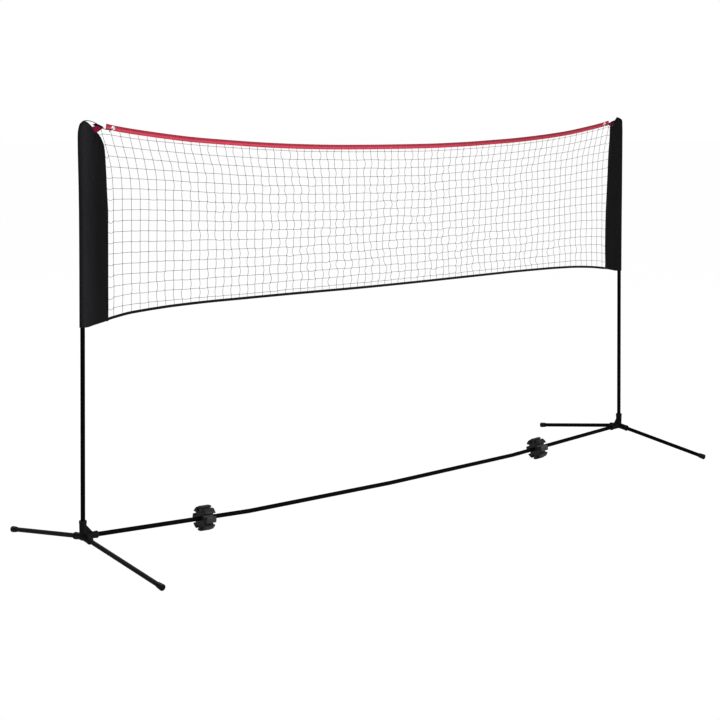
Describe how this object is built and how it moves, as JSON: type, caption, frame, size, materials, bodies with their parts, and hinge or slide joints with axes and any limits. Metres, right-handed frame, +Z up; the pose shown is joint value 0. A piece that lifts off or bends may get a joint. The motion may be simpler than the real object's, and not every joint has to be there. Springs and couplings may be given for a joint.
{
  "type": "portable badminton net",
  "caption": "Freestanding badminton net: steel tube base bar, cross legs and two posts, string mesh with red top tape and black end sleeves.",
  "frame": {"origin": "on the ground, midway between the two posts", "axes": "+X along the base bar to the right post, +Y to the rear legs, +Z up"},
  "size_m": [3.0272, 0.979, 1.5551],
  "materials": {
    "tube_black": "black painted steel tube, semi-gloss",
    "hub_plastic": "moulded black plastic, fine texture",
    "clip_plastic": "moulded dark grey plastic, fine texture",
    "cap_plastic": "moulded black plastic",
    "sleeve_cloth": "black woven polyester, double layer",
    "tape_red": "red woven polyester tape, folded over the net's top cord",
    "edging_black": "black woven binding tape",
    "net_string": "dark knotted twine, about 38 mm square mesh",
    "tab_red": "dark red reinforced corner patch",
    "eyelet_metal": "plated steel eyelet",
    "cord_black": "black braided cord"
  },
  "bodies": {
    "base": {"hub_left": "hub_plastic", "hub_right": "hub_plastic", "bar_tube_outer_left": "tube_black", "bar_tube_inner_left": "tube_black", "bar_tube_inner_right": "tube_black", "bar_tube_outer_right": "tube_black"},
    "leg_front_left": {"leg_tube_front_left": "tube_black", "foot_cap_front_left": "cap_plastic"},
    "leg_rear_left": {"leg_tube_rear_left": "tube_black", "foot_cap_rear_left": "cap_plastic"},
    "lower_post_left": {"post_lower_left": "tube_black"},
    "upper_post_left": {"post_upper_left": "tube_black", "post_cap_left": "cap_plastic"},
    "clip_left": {"storage_clip_left": "clip_plastic"},
    "leg_front_right": {"leg_tube_front_right": "tube_black", "foot_cap_front_right": "cap_plastic"},
    "leg_rear_right": {"leg_tube_rear_right": "tube_black", "foot_cap_rear_right": "cap_plastic"},
    "lower_post_right": {"post_lower_right": "tube_black"},
    "upper_post_right": {"post_upper_right": "tube_black", "post_cap_right": "cap_plastic"},
    "clip_right": {"storage_clip_right": "clip_plastic"},
    "net": {"net_mesh": "net_string", "top_tape": "tape_red", "bottom_edging": "edging_black", "sleeve_left": "sleeve_cloth", "corner_tab_left": "tab_red", "grommet_left": "eyelet_metal", "tension_cord_left": "cord_black", "sleeve_right": "sleeve_cloth", "corner_tab_right": "tab_red", "grommet_right": "eyelet_metal", "tension_cord_right": "cord_black"}
  },
  "joints": [
    {"name": "leg_pull_front_left", "type": "slide", "parent": "base", "child": "leg_front_left", "axis": [0, -0.9894, -0.1452], "range_m": [0, 0.036]},
    {"name": "leg_pull_rear_left", "type": "slide", "parent": "base", "child": "leg_rear_left", "axis": [0, 0.9894, -0.1452], "range_m": [0, 0.036]},
    {"name": "lower_post_lift_left", "type": "slide", "parent": "base", "child": "lower_post_left", "axis": [0, 0, 1], "range_m": [0, 0.043]},
    {"name": "upper_post_lift_left", "type": "slide", "parent": "lower_post_left", "child": "upper_post_left", "axis": [0, 0, 1], "range_m": [0, 0.044]},
    {"name": "clip_slide_left", "type": "slide", "parent": "base", "child": "clip_left", "axis": [-0.9989, 0, 0.0466], "range_m": [-0.16, 0.445]},
    {"name": "leg_pull_front_right", "type": "slide", "parent": "base", "child": "leg_front_right", "axis": [0, -0.9894, -0.1452], "range_m": [0, 0.036]},
    {"name": "leg_pull_rear_right", "type": "slide", "parent": "base", "child": "leg_rear_right", "axis": [0, 0.9894, -0.1452], "range_m": [0, 0.036]},
    {"name": "lower_post_lift_right", "type": "slide", "parent": "base", "child": "lower_post_right", "axis": [0, 0, 1], "range_m": [0, 0.043]},
    {"name": "upper_post_lift_right", "type": "slide", "parent": "lower_post_right", "child": "upper_post_right", "axis": [0, 0, 1], "range_m": [0, 0.044]},
    {"name": "clip_slide_right", "type": "slide", "parent": "base", "child": "clip_right", "axis": [0.9989, 0, 0.0466], "range_m": [-0.11, 0.495]},
    {"name": "net_lift", "type": "slide", "parent": "upper_post_left", "child": "net", "axis": [0, 0, 1], "range_m": [0, 0.72]}
  ],
  "couplings": [
    {"joint": "lower_post_lift_right", "follows": "lower_post_lift_left", "ratio": 1},
    {"joint": "upper_post_lift_right", "follows": "upper_post_lift_left", "ratio": 1}
  ]
}
